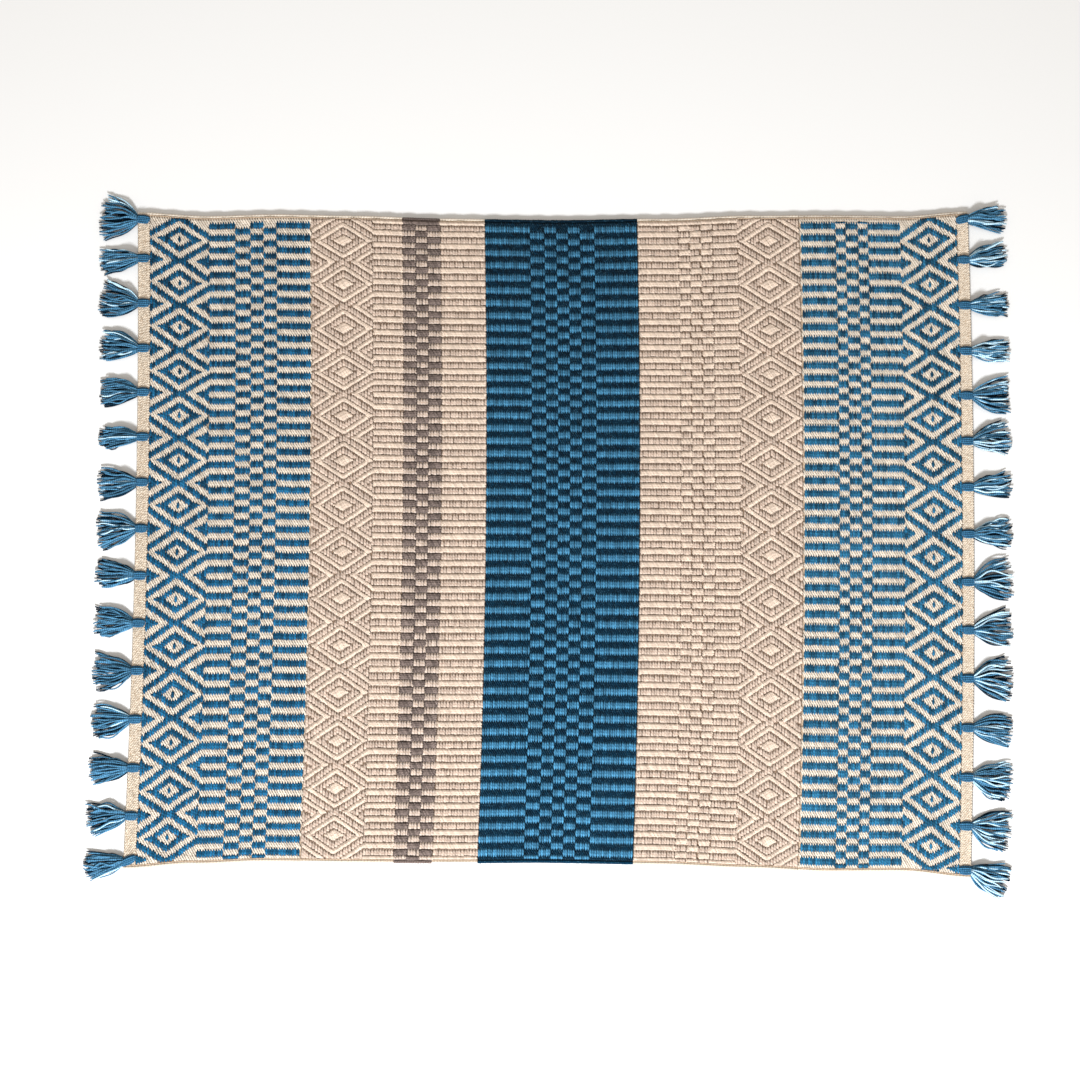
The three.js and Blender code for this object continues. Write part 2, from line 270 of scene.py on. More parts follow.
def tubes(heap, paths, radius, sides, slot):
    # paths n,s,3: one closed tube along each, with rounded ends
    n, s, _ = paths.shape
    ahead = np.gradient(paths, axis=1)
    ahead /= np.linalg.norm(ahead, axis=2, keepdims=True)
    side = np.cross(ahead, np.array([0, 0, 1.0]))
    side /= np.maximum(np.linalg.norm(side, axis=2, keepdims=True), 1e-6)
    up = np.cross(side, ahead)
    turn = np.arange(sides) / sides * 2 * math.pi
    size = np.broadcast_to(np.asarray(radius, float), (n, s))[:, :, None, None]
    around = side[:, :, None] * np.cos(turn)[:, None] + up[:, :, None] * np.sin(turn)[:, None]
    rings = paths[:, :, None] + size * around
    firstTip = paths[:, 0] - ahead[:, 0] * tipBulge * size[:, 0, 0]
    lastTip = paths[:, -1] + ahead[:, -1] * tipBulge * size[:, -1, 0]
    tips = np.stack([firstTip, lastTip], 1)
    length = np.cumsum(np.linalg.norm(np.diff(paths, axis=1), axis=2), 1)
    along = np.concatenate([np.zeros((n, 2)), length, length[:, -1:]], 1)
    addYarns(heap, tips, rings, along, slot)


def heapObject(name, heap, materials):
    points = np.concatenate(heap["points"]) * mm
    faces = np.concatenate(heap["faces"]).astype(np.int32)
    maps = np.concatenate(heap["maps"])
    slots = np.concatenate(heap["slots"]).astype(np.int32)
    mesh = bpy.data.meshes.new(name)
    mesh.vertices.add(len(points))
    mesh.vertices.foreach_set("co", points.ravel())
    mesh.loops.add(faces.size)
    mesh.loops.foreach_set("vertex_index", faces.ravel())
    mesh.polygons.add(len(faces))
    mesh.polygons.foreach_set("loop_start", np.arange(0, faces.size, 3, dtype=np.int32))
    mesh.update(calc_edges=True)
    for material in materials:
        mesh.materials.append(material)
    mesh.polygons.foreach_set("material_index", slots)
    mesh.polygons.foreach_set("use_smooth", np.ones(len(faces), bool))
    yarnMap = mesh.uv_layers.new(name="yarnMap")
    yarnMap.uv.foreach_set("vector", maps[faces.ravel()].astype(np.float32).ravel())
    plan = points[:, :2]
    spread = (plan - plan.min(0)) / np.ptp(plan, axis=0)
    spread = mapMargin + (1 - 2 * mapMargin) * spread
    bakeMap = mesh.uv_layers.new(name="OFBake")
    bakeMap.uv.foreach_set("vector", spread[faces.ravel()].astype(np.float32).ravel())
    mesh.uv_layers.active = yarnMap
    yarnMap.active_render = True
    mesh.update()
    piece = bpy.data.objects.new(name, mesh)
    bpy.context.collection.objects.link(piece)
    print(f"{name}: {len(faces)} triangles")
    return piece


# dyed cotton
def dye(code):
    parts = [int(code[i:i + 2], 16) / 255 for i in (0, 2, 4)]
    return tuple(c / 12.92 if c <= 0.04045 else ((c + 0.055) / 1.055) ** 2.4 for c in parts) + (1,)


spinning = {  # scales are cells per metre
    "plyDepth": 0.22, "plyLevel": 0.62, "fibreScale": 700, "fibreDetail": 2, "fibreDepth": 1.4,
    "batchScale": 28, "batchDetail": 3,
    "speckScale": 470, "speckSpread": 0.7, "speckFrom": 0.42, "speckTo": 0.18,
    "roughness": 0.8, "roughSpread": 0.15, "plyHeight": 0.6, "bump": 0.5, "bumpDistance": 0.0003,
    "specular": 0.06, "sheenRoughness": 0.5,
}


def spunYarnGroup():
    group = bpy.data.node_groups.new("spunYarn", "ShaderNodeTree")
    for name, kind, default in [
        ("Dye", "NodeSocketColor", (0.5, 0.5, 0.5, 1)), ("GrooveShade", "NodeSocketColor", (0.2, 0.2, 0.2, 1)),
        ("Ply", "NodeSocketFloat", 0.35), ("Uneven", "NodeSocketFloat", 0.3),
        ("Mottle", "NodeSocketFloat", 0.2), ("Warp", "NodeSocketColor", (0.5, 0.5, 0.5, 1)),
        ("Peep", "NodeSocketFloat", 0.0), ("Fade", "NodeSocketFloat", 0.0),
    ]:
        group.interface.new_socket(name, in_out="INPUT", socket_type=kind).default_value = default
    for name, kind in [
        ("Color", "NodeSocketColor"), ("Roughness", "NodeSocketFloat"), ("Height", "NodeSocketFloat"),
    ]:
        group.interface.new_socket(name, in_out="OUTPUT", socket_type=kind)
    nodes, link = group.nodes, group.links.new

    def mathNode(operation, a, b=None, c=None):
        node = nodes.new("ShaderNodeMath")
        node.operation = operation
        for socket, value in zip(node.inputs, (a, b, c)):
            if value is None:
                continue
            if isinstance(value, (int, float)):
                socket.default_value = value
            else:
                link(value, socket)
        return node.outputs[0]

    given = nodes.new("NodeGroupInput").outputs
    result = nodes.new("NodeGroupOutput").inputs
    yarnMap = nodes.new("ShaderNodeUVMap")
    yarnMap.uv_map = "yarnMap"
    along = nodes.new("ShaderNodeSeparateXYZ")
    link(yarnMap.outputs["UV"], along.inputs[0])
    turns = mathNode("MULTIPLY_ADD", along.outputs["X"], given["Ply"], along.outputs["Y"])
    strand = mathNode("SINE", mathNode("MULTIPLY", turns, 2 * math.pi))  # two plies twisted together
    place = nodes.new("ShaderNodeTexCoord").outputs["Object"]
    fibre = nodes.new("ShaderNodeTexNoise")
    fibre.inputs["Scale"].default_value = spinning["fibreScale"]
    fibre.inputs["Detail"].default_value = spinning["fibreDetail"]
    link(place, fibre.inputs["Vector"])
    batch = nodes.new("ShaderNodeTexNoise")  # uneven dye from one stretch to the next
    batch.inputs["Scale"].default_value = spinning["batchScale"]
    batch.inputs["Detail"].default_value = spinning["batchDetail"]
    link(place, batch.inputs["Vector"])
    island = nodes.new("ShaderNodeNewGeometry").outputs["Random Per Island"]
    depth = spinning["fibreDepth"]
    # painted shade: the twist's grooves take the darker groove colour and the plies' crowns take the dye,
    # with random fibre tone mixed in
    twist = mathNode("MULTIPLY_ADD", strand, spinning["plyDepth"], spinning["plyLevel"])
    light = mathNode("ADD", twist, mathNode("MULTIPLY_ADD", fibre.outputs["Fac"], depth, -depth / 2))
    blend = nodes.new("ShaderNodeMix")
    blend.data_type = "RGBA"
    blend.clamp_factor = True
    link(light, blend.inputs["Factor"])
    link(given["GrooveShade"], blend.inputs["A"])
    link(given["Dye"], blend.inputs["B"])
    shade = mathNode("MULTIPLY_ADD", mathNode("SUBTRACT", island, 0.5), given["Uneven"], 1.0)
    stretch = mathNode("SUBTRACT", batch.outputs["Fac"], 0.5)
    shade = mathNode("MULTIPLY_ADD", stretch, given["Mottle"], shade)
    spot = nodes.new("ShaderNodeSeparateXYZ")  # painted light along the rug: shade that changes from front to back
    link(place, spot.inputs[0])
    shade = mathNode("MULTIPLY_ADD", spot.outputs["Y"], given["Fade"], shade)
    tint = nodes.new("ShaderNodeVectorMath")
    tint.operation = "SCALE"
    link(blend.outputs["Result"], tint.inputs[0])
    link(shade, tint.inputs["Scale"])
    dots = nodes.new("ShaderNodeTexVoronoi")
    dots.inputs["Scale"].default_value = spinning["speckScale"]
    dots.inputs["Randomness"].default_value = spinning["speckSpread"]
    link(place, dots.inputs["Vector"])
    near = nodes.new("ShaderNodeMapRange")
    near.inputs["From Min"].default_value = spinning["speckFrom"]
    near.inputs["From Max"].default_value = spinning["speckTo"]
    link(dots.outputs["Distance"], near.inputs["Value"])
    peep = nodes.new("ShaderNodeMix")
    peep.data_type = "RGBA"
    link(mathNode("MULTIPLY", near.outputs["Result"], given["Peep"]), peep.inputs["Factor"])
    link(tint.outputs[0], peep.inputs["A"])
    link(given["Warp"], peep.inputs["B"])
    link(peep.outputs["Result"], result["Color"])
    rough = mathNode("MULTIPLY_ADD", fibre.outputs["Fac"], spinning["roughSpread"], spinning["roughness"])
    link(rough, result["Roughness"])
    link(mathNode("MULTIPLY_ADD", strand, spinning["plyHeight"], fibre.outputs["Fac"]), result["Height"])
    return group


yarns = {  # dye, painted shade in the twist's grooves, turns per mm, tone by yarn, tone by stretch, sheen
    "indigo": ("1d5e84", "07253a", 0.33, 1.0, 0.35, 0.03),
    # a paler indigo for the right-hand blue panel
    "indigoPaler": ("2a698c", "0b2c42", 0.33, 1.0, 0.35, 0.03),
    "cream": ("d3cabe", "b9a897", 0.33, 0.34, 0.12, 0.04),
    "rib": ("d4c3b5", "c0ab99", 0.33, 0.3, 0.12, 0.04),
    "header": ("ddd1c2", "c6b39c", 0.33, 0.2, 0.12, 0.04),
    "tan": ("c1b1a4", "927869", 0.33, 0.3, 0.15, 0.04),
    "beige": ("bdaea5", "97816d", 0.33, 0.3, 0.15, 0.04),
    "taupe": ("7e706a", "443938", 0.45, 0.7, 0.2, 0.04),
    "navy": ("053149", "02121c", 0.45, 0.8, 0.3, 0.02),
    "sky": ("4884a9", "164560", 0.33, 0.6, 0.2, 0.03),
    "tassel": ("568db2", "0e3145", 0.5, 1.0, 0.3, 0.03),
    # painted shade for the lower strands under the upper ones, and painted highlights for some upper strands
    "tasselUnderShade": ("0e2c41", "030d16", 0.5, 0.7, 0.3, 0.0),
    "tasselHighlight": ("cde6f3", "6aa3c3", 0.5, 0.4, 0.3, 0.03),
    # painted shade: the neck is a darker copy of the tassel yarn, for the shade on its rounded sides
    "neck": ("3f7499", "0e344d", 0.5, 0.8, 0.3, 0.03),
    # painted shade: the darker colours below are for the cloth's face where it shows between yarns, and for
    # the thin dark line inside the cream cords
    "creamShade": ("c2ad98", "a08870", 0.33, 0.0, 0.15, 0.0),
    "tanShade": ("947c68", "665243", 0.33, 0.0, 0.15, 0.0),
    "navyShade": ("03121c", "02090f", 0.33, 0.0, 0.15, 0.0),
}
specks = {"navy": ("5f91aa", 0.2), "header": ("96724c", 0.7)}  # warp that shows: its dye, how much
paintedLightSlopes = {  # painted light: shade a yarn gains over a metre towards the back; the blues darken there for sheen in front, the creams and tan pale slightly, evening out the lamp's falloff
    "indigo": -0.45, "indigoPaler": -0.4, "sky": -0.4, "navy": -0.6,
    "cream": 0.1, "rib": 0.14, "tan": 0.14, "header": 0.15,
}


def yarnMaterial(name, group):
    colour, grooveShade, ply, uneven, mottle, sheen = yarns[name]
    material = bpy.data.materials.new(f"cotton_{name}")
    material.use_nodes = True
    nodes, link = material.node_tree.nodes, material.node_tree.links.new
    shader = nodes["Principled BSDF"]
    shader.inputs["Specular IOR Level"].default_value = spinning["specular"]
    shader.inputs["Sheen Weight"].default_value = sheen
    shader.inputs["Sheen Roughness"].default_value = spinning["sheenRoughness"]
    spun = nodes.new("ShaderNodeGroup")
    spun.node_tree = group
    spun.inputs["Dye"].default_value = dye(colour)
    spun.inputs["GrooveShade"].default_value = dye(grooveShade)
    spun.inputs["Ply"].default_value = ply
    spun.inputs["Uneven"].default_value = uneven
    spun.inputs["Mottle"].default_value = mottle
    spun.inputs["Fade"].default_value = paintedLightSlopes.get(name, 0.0)
    if name in specks:
        spun.inputs["Warp"].default_value = dye(specks[name][0])
        spun.inputs["Peep"].default_value = specks[name][1]
    bump = nodes.new("ShaderNodeBump")
    bump.inputs["Strength"].default_value = spinning["bump"]
    bump.inputs["Distance"].default_value = spinning["bumpDistance"]
    link(spun.outputs["Color"], shader.inputs["Base Color"])
    link(spun.outputs["Roughness"], shader.inputs["Roughness"])
    link(spun.outputs["Height"], bump.inputs["Height"])
    link(bump.outputs["Normal"], shader.inputs["Normal"])
    return material


spunYarn = spunYarnGroup()
cotton = {name: yarnMaterial(name, spunYarn) for name in yarns}
slotOf = {name: i for i, name in enumerate(yarns)}
print("cotton dyed")


# floats and ground of one panel
floatLook = {
    "halfWidth": 0.66,  # share of the pitch
    "tipHeight": 4.5, "top": 5.5, "depth": 0.95, "longest": 1.9, "overlap": 0.2, "margin": 0.35,
    "stagger": 0.5, "mostColumns": 80, "first": -0.12, "last": 0.9,  # rows off the long edges
    "jitter": 0.07, "endRows": 0.035, "sway": 0.1, "level": 0.1, "widths": 0.06,  # how uneven the yarns are
    "profile": [(-1, -1), (-0.55, 0), (0.55, 0), (1, -1)],
    "stations": [(0.27, 0.76, -0.6), (0.55, 1.0, -0.05), (0.75, 0.8, 0.0)],  # share, width, drop
}
skyFloatLook = dict(floatLook, halfWidth=0.62, overlap=0.17)
lowFloatLook = dict(
    floatLook, halfWidth=0.6, tipHeight=3.9, top=4.9, depth=0.42, overlap=0.0, jitter=0.2, level=0.12,
    stations=[(0.08, 0.5, -0.75), (0.38, 0.9, -0.12), (0.9, 1.0, -0.25)],
)
groundLook = {
    "pitch": 0, "lean": 0.62, "halfWidth": 1.28, "tipHeight": 4.2, "top": 4.5, "depth": 0.5, "longest": 1.25,
    "keepOff": 0.15, "grow": 0.3, "stations": [(0.12, 0.95, 0.0), (0.88, 0.95, 0.0)],
    "inset": 0.3, "endInset": 0.2, "fewestRows": 0.15, "stagger": 0.6,
    "startRow": -0.22, "stopRow": 0.8, "first": -0.08, "last": 0.92,  # rows off the long edges
    "endRows": 0.03, "level": 0.06, "widths": 0.06,  # how uneven the strands are
    "profile": [(-1, -1), (0, 0), (1, -1)],
}
ribLook = dict(
    groundLook, pitch=1.29, longest=2.4, top=5.35, tipHeight=3.9, depth=0.4, halfWidth=0.85,
    keepOff=0.1, grow=0.1, stations=[(0.17, 0.95, -0.1), (0.8, 1.0, 0.0)],
)
headerLook = dict(
    groundLook, pitch=1.6, halfWidth=0.85, tipHeight=3.7, depth=0.5, longest=0.36, top=4.2, grow=0.08,
)
navyLook = dict(groundLook, pitch=2.1, halfWidth=0.75, tipHeight=4.1, longest=0.55, top=4.4, grow=0.2)
samplesPerRow = 20
rowSamples = np.linspace(-0.5, clothPlan["rows"] - 0.5, clothPlan["rows"] * samplesPerRow + 1)


def yarnColour(panel, kind, x):
    name = "rib" if panel["float"] == "tan" and kind == "ground" else panel[kind]
    striped = (x > taupeStripe[0]) & (x < taupeStripe[1])
    other = "beige" if kind == "float" else "taupe"
    return np.where(striped, slotOf[other], slotOf[name])


def spindles(heap, look, ends, at, wide, top, slot):
    # yarns that come up out of the cloth, run along its face and go down again
    n = len(ends)
    profile = np.array(look["profile"])
    tips = np.empty((n, 2, 3))
    tips[:, :, :2] = weavePoint(ends, at)
    tips[:, :, 2] = look["tipHeight"]
    share, swell, drop = (np.array(v) for v in zip(*look["stations"]))
    middle = tips[:, :1, :2] * (1 - share[None, :, None]) + tips[:, 1:, :2] * share[None, :, None]
    run = tips[:, 1, :2] - tips[:, 0, :2]
    span = np.linalg.norm(run, axis=1)
    side = np.stack([-run[:, 1], run[:, 0]], 1) / np.maximum(span, 1e-6)[:, None]
    rings = np.empty((n, len(share), len(profile), 3))
    breadth = (wide[:, None] * swell[None])[:, :, None] * profile[:, 0]
    rings[..., :2] = middle[:, :, None] - side[:, None, None] * breadth[..., None]
    rings[..., 2] = (top[:, None] + drop[None])[:, :, None] + look["depth"] * profile[:, 1]
    along = span[:, None] * np.array([0, *share, 1])[None]
    for k in np.unique(slot):
        addYarns(heap, tips[slot == k], rings[slot == k], along[slot == k], k)


def layFloats(heap, panel, look):
    columns = panel["centre"] + panel["pitch"] * np.arange(-look["mostColumns"], look["mostColumns"] + 1)
    margin = look["margin"] * panel["pitch"]
    columns = columns[(columns > panel["from"] + margin) & (columns < panel["to"] - margin)]
    mask = floatsAt(panel, columns[:, None], rowSamples[None])
    column, first, last = cutRuns(*runsOf(mask, rowSamples), look["longest"], look["stagger"])
    n = len(column)
    x = columns[column] + dice.normal(0, look["jitter"], n)
    at = np.stack([first - look["overlap"], last + look["overlap"]], 1)
    at = at + dice.normal(0, look["endRows"], (n, 2))
    at = np.clip(at, look["first"], clothPlan["rows"] - look["last"])
    top = look["top"] + dice.normal(0, look["level"], n)
    wide = look["halfWidth"] * panel["pitch"] * (1 + dice.normal(0, look["widths"], n))
    ends = x[:, None] + dice.normal(0, look["sway"], (n, 2))
    spindles(heap, look, ends, at, wide, top, yarnColour(panel, "float", x))


def layGround(heap, panel, look, part):
    start, end = part
    lean = look["lean"] * rowPitch  # twill runs from the back on the left to the front on the right
    starts = np.arange(start - lean * clothPlan["rows"], end, look["pitch"] or panel["pitch"])
    x = starts[:, None] + lean * (rowSamples + 0.5)[None]
    mask = (x > start + look["inset"]) & (x < end - look["inset"])
    mask &= (rowSamples > look["startRow"]) & (rowSamples < clothPlan["rows"] - look["stopRow"])
    for step in (-look["keepOff"], 0, look["keepOff"]):  # a strand keeps off the floats beside it
        mask &= ~floatsAt(panel, x + step, rowSamples[None] - step / rowPitch)
    line, first, last = runsOf(mask, rowSamples)
    keep = last - first > look["fewestRows"]
    line, first, last = cutRuns(line[keep], first[keep], last[keep], look["longest"], look["stagger"])
    n = len(line)
    at = np.stack([first - look["grow"], last + look["grow"]], 1)
    at = at + dice.normal(0, look["endRows"], (n, 2))
    at = np.clip(at, look["first"], clothPlan["rows"] - look["last"])  # the selvedge cords stay in view
    wide = look["halfWidth"] * (1 + dice.normal(0, look["widths"], n))
    slot = yarnColour(panel, "ground", starts[line] + lean * (at.mean(1) + 0.5))
    if look is headerLook:
        slot = np.full(n, slotOf["header"])
    ends = starts[line][:, None] + lean * (at + 0.5)
    ends = np.clip(ends, start + look["endInset"], end - look["endInset"])
    top = look["top"] + dice.normal(0, look["level"], n)
    spindles(heap, look, ends, at, wide, top, slot)


weaves = []
for panel in panels:
    heap = yarnHeap()
    isTan = panel["float"] == "tan"
    isNavy = panel["ground"] == "navy"
    layFloats(heap, panel, lowFloatLook if isTan else skyFloatLook if isNavy else floatLook)
    start = panel["from"]
    for kind, end, _ in panel["bands"]:
        if kind == "plain":
            layGround(heap, panel, headerLook, (start, end))
        start = end
    cuts = [panel["from"], *(end for _, end, _ in panel["bands"])]
    first = cuts[1] if panel["bands"][0][0] == "plain" else cuts[0]
    last = cuts[-2] if panel["bands"][-1][0] == "plain" else cuts[-1]
    layGround(heap, panel, navyLook if isNavy else ribLook if isTan else groundLook, (first, last))
    weaves.append(heapObject(panel["name"], heap, list(cotton.values())))


# the cloth under the yarns, closed, with the reverse of the weave below
underlay = {
    "top": 3.45, "edgeTop": 3.3, "mapPitch": 2.45,
    "cells": {"plain": 12.0, "bars": 22.0, "diamonds": 3.1},  # longest cell along the rug
}


def underlayCuts():
    cuts = [-clothPlan["halfLength"]]
    for panel in panels:
        for kind, end, columns in panel["bands"]:
            count = columns or int(math.ceil((end - cuts[-1]) / underlay["cells"][kind]))
            cuts += list(np.linspace(cuts[-1], end, count + 1)[1:])
    return np.array(cuts)


def layUnderlay():
    x = underlayCuts()
    row = np.arange(clothPlan["rows"] + 1) - 0.5
    plan = weavePoint(x[:, None], row[None])
    isEdge = np.zeros(plan.shape[:2], bool)
    isEdge[[0, -1]] = True
    isEdge[:, [0, -1]] = True
    heap = yarnHeap()
    shape = plan.shape[:2]
    number = np.arange(shape[0] * shape[1]).reshape(shape)
    a, b, c, d = number[:-1, :-1], number[:-1, 1:], number[1:, 1:], number[1:, :-1]
    upper = np.stack([np.stack([a, b, c], -1), np.stack([a, c, d], -1)], 2).reshape(-1, 3)
    middleX = ((x[:-1] + x[1:]) / 2)[:, None]
    middleRow = (row[:-1] + 0.5)[None]
    face = np.zeros((len(x) - 1, len(row) - 1), int)
    back = np.zeros_like(face)
    for panel in panels:
        here = (middleX >= panel["from"]) & (middleX < panel["to"])
        isFloat = floatsAt(panel, middleX, middleRow)
        over, under = yarnColour(panel, "float", middleX), yarnColour(panel, "ground", middleX)
        # the face shows only between the yarns, so outside the taupe stripe it takes a painted shade colour
        shade = "tanShade" if panel["float"] == "tan" else panel["ground"] + "Shade"
        face = np.where(here, np.where(under == slotOf["taupe"], under, slotOf[shade]), face)
        isHeader = np.abs(middleX) > abs(panel.get("header", clothPlan["halfLength"]))
        reverse = np.where(isHeader, slotOf["header"], np.where(isFloat, under, over))
        back = np.where(here, reverse, back)
    height = np.where(isEdge, underlay["edgeTop"], underlay["top"])
    top = np.concatenate([plan.reshape(-1, 2), height.reshape(-1, 1)], 1)
    bottom = np.concatenate([plan.reshape(-1, 2), np.zeros((plan[..., 0].size, 1))], 1)
    maps = np.stack([plan[..., 1].ravel(), plan[..., 0].ravel() / underlay["mapPitch"]], -1)
    total = number.size
    ring = np.concatenate([number[0, :-1], number[:-1, -1], number[-1, :0:-1], number[:0:-1, 0]])
    after = np.roll(ring, -1)
    walls = [np.stack([ring, ring + total, after + total], -1), np.stack([ring, after + total, after], -1)]
    walls = np.concatenate(walls)
    slots = [np.repeat(face.ravel(), 2), np.repeat(back.ravel(), 2), np.full(len(walls), slotOf["cream"])]
    faces = np.concatenate([upper, upper[:, ::-1] + total, walls])
    points = np.concatenate([top, bottom])
    addSurface(heap, points, faces, np.concatenate([maps, maps]), np.concatenate(slots))
    return heapObject("cloth_underlay", heap, list(cotton.values()))


underCloth = layUnderlay()


# selvedge cords along both long edges
selvedge = {
    "radius": 1.4, "height": 2.9, "inset": 0.5, "step": 1.2, "fewestSteps": 6, "sides": 6,
    "lump": 0.16, "lumpTurn": 2.6, "lumps": 0.05, "sag": 0.25, "sagTurn": 0.31, "endGap": 0.2,
    "shadeLine": 0.45, "shadeLineInset": 2.25, "shadeLineHeight": 4.3, "shadeLineLevel": 0.12, "shadeLineSides": 4,
}


def laySelvedge():
    heap = yarnHeap()
    for edgeRow, inward in ((-0.5, 1), (clothPlan["rows"] - 0.5, -1)):
        for panel in panels:
            cuts = [panel["from"], panel["to"]]
            if panel["name"] == "weave_tan_left":
                cuts[1:1] = taupeStripe
            for a, b in zip(cuts[:-1], cuts[1:]):
                count = max(int((b - a) / selvedge["step"]), selvedge["fewestSteps"])
                x = np.linspace(a + selvedge["endGap"], b - selvedge["endGap"], count)
                cordRow = edgeRow + inward * selvedge["inset"] / rowPitch
                centre = weavePoint(x, np.full_like(x, cordRow))
                turn = np.arange(selvedge["sides"]) / selvedge["sides"] * 2 * math.pi
                lump = 1 + selvedge["lump"] * np.sin(x * selvedge["lumpTurn"])
                lump = selvedge["radius"] * (lump + dice.normal(0, selvedge["lumps"], count))
                rings = np.empty((1, count, len(turn), 3))
                rings[0, ..., 0] = centre[:, None, 0]
                rings[0, ..., 1] = centre[:, None, 1] + lump[:, None] * np.cos(turn)
                sag = selvedge["height"] + selvedge["sag"] * np.sin(x * selvedge["sagTurn"])
                rings[0, ..., 2] = sag[:, None] + lump[:, None] * np.sin(turn)
                tips = np.stack([rings[:, 0].mean(1), rings[:, -1].mean(1)], 1)
                along = np.concatenate([[0], x - x[0], [x[-1] - x[0]]])[None]
                slot = slotOf["navy"] if panel["ground"] == "navy" else slotOf["cream"]
                if taupeStripe[0] <= a and b <= taupeStripe[1]:
                    slot = slotOf["taupe"]
                addYarns(heap, tips, rings, along, slot)
                # painted shade: a thin dark yarn inside each cream cord stands for the shadow line there
                if slot == slotOf["cream"]:
                    shadeLine = np.empty((1, count, 3))
                    shadeLineRow = edgeRow + inward * selvedge["shadeLineInset"] / rowPitch
                    shadeLine[0, :, :2] = weavePoint(x, np.full_like(x, shadeLineRow))
                    shadeLine[0, :, 2] = selvedge["shadeLineHeight"] + dice.normal(0, selvedge["shadeLineLevel"], count)
                    tubes(heap, shadeLine, selvedge["shadeLine"], selvedge["shadeLineSides"], slotOf["creamShade"])
    return heapObject("selvedge_cords", heap, list(cotton.values()))


selvedgeCords = laySelvedge()


# tassels
tasselLook = {
    "strands": 50, "strandRadius": 0.72, "skirt": 34.0, "stations": 10, "sides": 5,
    "slitInset": 10.8, "pinch": 3.3, "pinchAt": 1.2, "opens": 16.0, "fanEnd": 1.5,
    "height": 8.2, "heightShare": 0.92, "lowest": 0.9, "floorGap": 0.05, "crown": 0.82,
    "archBase": 0.8, "archRise": 0.35, "archOver": 16, "sink": 0.5, "sinkFrom": 12, "sinkOver": 26,
    "sinkMost": 1.2, "tipFrom": 0.98, "tipThin": 0.8,
    "sideLength": 0.88, "shorter": -0.01, "ragged": 0.08, "shortest": -0.2, "longest": 0.1,
    "topFrom": 0.45, "locks": 3.4, "lockPull": 0.72, "lockOver": 1.15,
    "bend": 1.5, "curl": 0.85, "waveFrom": 20, "waveTo": 40, "phases": 6.3,
    "settleOver": 9, "radii": 0.1, "lifts": 0.5, "highlightShare": {-1: 0.1, 1: 0.4},  # share of upper strands given the painted highlight colour, by end
    "neckYarns": 5, "neckStations": 9, "neckFrom": -11.8, "neckHalf": 4.4, "neckRadius": 0.98,
    "neckBase": 3.9, "neckRise": 2.9, "neckRound": 1.6, "neckPivot": 4, "neckCrown": 0.85,
    "swellFrom": 0.1, "swellOver": 0.86, "neckDrawn": 0.5, "yarnDrawn": 0.8,
    "wrapAt": 0.8, "wrapLean": 0.25, "wrapRadius": 0.62, "wrapHalf": 3.2, "wrapBase": 3.2, "wrapRise": 2.6,
    "wrapStations": 11, "wrapPast": 0.35,
}
tassels = [  # degrees that each skirt turns towards the back edge and half its fan: left, then right
    (4, 30, 3, 17), (-6, 18, 13, 16), (8, 27, 2, 16), (6, 23, 2, 15), (1, 20, 2, 27),
    (-2, 15, 9, 22), (-4, 21, 5, 16), (-5, 26, 3, 20), (5, 20, 5, 29), (1, 21, 5, 25),
    (-3, 26, 0, 30), (-6, 24, -5, 22), (-4, 19, -8, 27), (-7, 22, -9, 28), (-10, 17, -20, 23),
]
slitOff, lastSlit = 0.6, clothPlan["rows"] - 2  # rows
slitRows = [min(max(diamond["rows"] * k - slitOff, 0), lastSlit) for k in range(len(tassels))]
cornerNecks = {(14, -1): -22, (0, 1): 14, (0, -1): 4}  # degrees that a corner's neck leans, by pair and end


